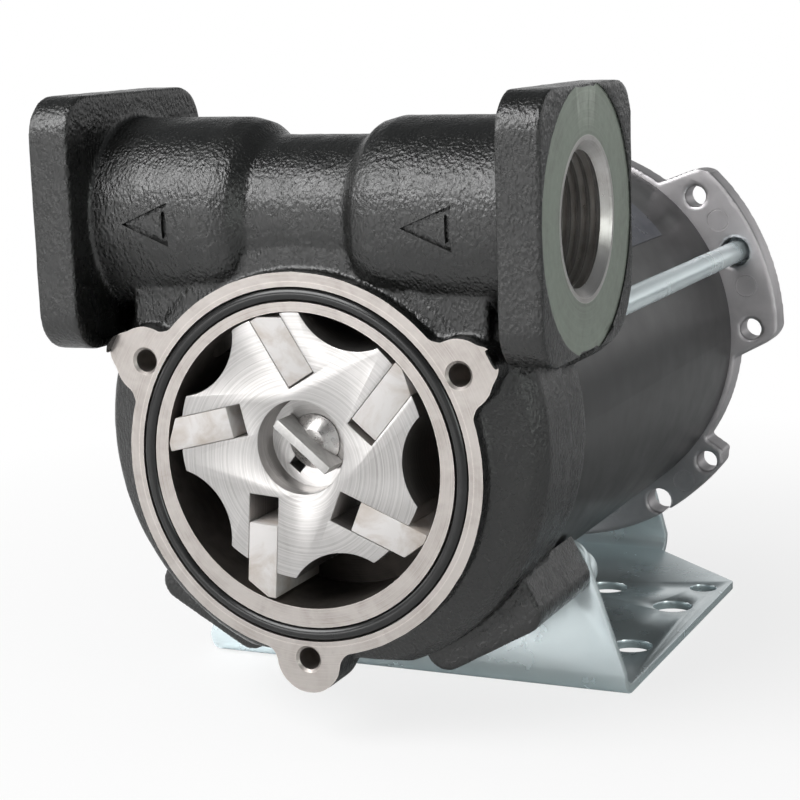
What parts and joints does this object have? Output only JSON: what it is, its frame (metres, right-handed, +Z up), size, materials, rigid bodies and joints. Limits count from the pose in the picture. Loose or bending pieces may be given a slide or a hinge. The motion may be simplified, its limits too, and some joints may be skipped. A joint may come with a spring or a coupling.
{
  "type": "rotary vane fuel pump",
  "caption": "Self-priming vane pump for diesel on a direct current motor: open chamber with slotted rotor and vanes, two threaded ports, sheet metal foot.",
  "frame": {"origin": "centre of the foot's mounting holes on the underside of the foot", "axes": "+X towards the inlet port, +Y from the open chamber back along the motor, +Z up"},
  "size_m": [0.1072, 0.1617, 0.1199],
  "materials": {
    "pump_body": "semi-gloss black paint over a sand casting, machined faces bare",
    "cover_o_ring": "glossy oiled rubber",
    "bypass_spring": "spring wire",
    "bypass_cap": "zinc plated plug",
    "bypass_cap_seal": "rubber ring",
    "shaft_seal": "moulded rubber",
    "front_bearing_outer": "ground steel",
    "rear_bearing_outer": "ground steel",
    "motor_front_plate": "die cast",
    "front_plate_screws": "zinc plated",
    "motor_tube": "smooth satin black paint on steel",
    "field_magnets": "sintered ferrite",
    "magnet_clips": "spring steel",
    "rear_end_bell": "satin die cast aluminium",
    "brush_holder": "laminated phenolic",
    "left_brush_spring": "spring wire",
    "right_brush_spring": "spring wire",
    "tie_rods": "zinc plated",
    "tie_rod_nuts": "zinc plated",
    "motor_label": "bare dark film",
    "mounting_bracket": "bluish zinc plated sheet",
    "bracket_screws": "zinc plated",
    "rear_bracket_screws": "zinc plated",
    "cable_grommet": "moulded rubber",
    "rotor": "turned sintered steel",
    "drive_key": "ground steel",
    "motor_shaft": "ground steel",
    "front_bearing_inner": "ground steel",
    "rear_bearing_inner": "ground steel",
    "armature_core": "stacked steel sheets",
    "armature_windings": "enamelled copper wire",
    "commutator": "copper bars",
    "front_bearing_balls": "polished steel",
    "rear_bearing_balls": "polished steel",
    "thrust_washer": "hardened steel",
    "bypass_poppet": "turned steel",
    "left_brush": "carbon",
    "right_brush": "carbon",
    "vane_1": "off-white ground vane with brown smudges",
    "vane_2": "off-white ground vane with brown smudges",
    "vane_3": "off-white ground vane with brown smudges",
    "vane_4": "off-white ground vane with brown smudges",
    "vane_5": "off-white ground vane with brown smudges"
  },
  "bodies": {
    "housing": {"pump_body": "pump_body", "cover_o_ring": "cover_o_ring", "bypass_spring": "bypass_spring", "bypass_cap": "bypass_cap", "bypass_cap_seal": "bypass_cap_seal", "shaft_seal": "shaft_seal", "front_bearing_outer": "front_bearing_outer", "rear_bearing_outer": "rear_bearing_outer", "motor_front_plate": "motor_front_plate", "front_plate_screws": "front_plate_screws", "motor_tube": "motor_tube", "field_magnets": "field_magnets", "magnet_clips": "magnet_clips", "rear_end_bell": "rear_end_bell", "brush_holder": "brush_holder", "left_brush_spring": "left_brush_spring", "right_brush_spring": "right_brush_spring", "tie_rods": "tie_rods", "tie_rod_nuts": "tie_rod_nuts", "motor_label": "motor_label", "mounting_bracket": "mounting_bracket", "bracket_screws": "bracket_screws", "rear_bracket_screws": "rear_bracket_screws", "cable_grommet": "cable_grommet"},
    "spindle": {"rotor": "rotor", "drive_key": "drive_key", "motor_shaft": "motor_shaft", "front_bearing_inner": "front_bearing_inner", "rear_bearing_inner": "rear_bearing_inner", "armature_core": "armature_core", "armature_windings": "armature_windings", "commutator": "commutator"},
    "bearing_balls": {"front_bearing_balls": "front_bearing_balls", "rear_bearing_balls": "rear_bearing_balls"},
    "thrust_washer": {"thrust_washer": "thrust_washer"},
    "bypass_poppet": {"bypass_poppet": "bypass_poppet"},
    "left_brush": {"left_brush": "left_brush"},
    "right_brush": {"right_brush": "right_brush"},
    "vane_1": {"vane_1": "vane_1"},
    "vane_2": {"vane_2": "vane_2"},
    "vane_3": {"vane_3": "vane_3"},
    "vane_4": {"vane_4": "vane_4"},
    "vane_5": {"vane_5": "vane_5"}
  },
  "joints": [
    {"name": "rotor_spin", "type": "hinge", "parent": "housing", "child": "spindle", "pos_m": [0, -0.087, 0.0569], "axis": [0, 1, 0], "continuous": true},
    {"name": "ball_orbit", "type": "hinge", "parent": "housing", "child": "bearing_balls", "pos_m": [0, -0.087, 0.0569], "axis": [0, 1, 0], "continuous": true},
    {"name": "washer_turn", "type": "hinge", "parent": "housing", "child": "thrust_washer", "pos_m": [0.00028, -0.087, 0.0556], "axis": [0, 1, 0], "continuous": true},
    {"name": "vane_1_slide", "type": "hinge", "parent": "thrust_washer", "child": "vane_1", "pos_m": [-0.00018, -0.087, 0.05435], "axis": [0, 1, 0], "continuous": true},
    {"name": "vane_2_slide", "type": "hinge", "parent": "thrust_washer", "child": "vane_2", "pos_m": [0.00139, -0.087, 0.05633], "axis": [0, 1, 0], "continuous": true},
    {"name": "vane_3_slide", "type": "hinge", "parent": "thrust_washer", "child": "vane_3", "pos_m": [-0.00104, -0.087, 0.05566], "axis": [0, 1, 0], "continuous": true},
    {"name": "vane_4_slide", "type": "hinge", "parent": "thrust_washer", "child": "vane_4", "pos_m": [0.00133, -0.087, 0.05477], "axis": [0, 1, 0], "continuous": true},
    {"name": "vane_5_slide", "type": "hinge", "parent": "thrust_washer", "child": "vane_5", "pos_m": [-0.00007, -0.087, 0.05688], "axis": [0, 1, 0], "continuous": true},
    {"name": "bypass_lift", "type": "slide", "parent": "housing", "child": "bypass_poppet", "axis": [0, 1, 0], "range_m": [0, 0.003], "stiffness_N_per_m": 1000, "springref_m": -0.01, "deforming": ["bypass_spring"]},
    {"name": "left_brush_slide", "type": "slide", "parent": "housing", "child": "left_brush", "axis": [-1, 0, 0], "range_m": [0, 0.003], "stiffness_N_per_m": 300, "springref_m": -0.01, "deforming": ["left_brush_spring"]},
    {"name": "right_brush_slide", "type": "slide", "parent": "housing", "child": "right_brush", "axis": [1, 0, 0], "range_m": [0, 0.003], "stiffness_N_per_m": 300, "springref_m": -0.01, "deforming": ["right_brush_spring"]}
  ],
  "couplings": [
    {"joint": "ball_orbit", "follows": "rotor_spin", "ratio": 0.3667},
    {"joint": "washer_turn", "follows": "rotor_spin", "ratio": 2},
    {"joint": "vane_1_slide", "follows": "rotor_spin", "ratio": -1},
    {"joint": "vane_2_slide", "follows": "rotor_spin", "ratio": -1},
    {"joint": "vane_3_slide", "follows": "rotor_spin", "ratio": -1},
    {"joint": "vane_4_slide", "follows": "rotor_spin", "ratio": -1},
    {"joint": "vane_5_slide", "follows": "rotor_spin", "ratio": -1}
  ]
}
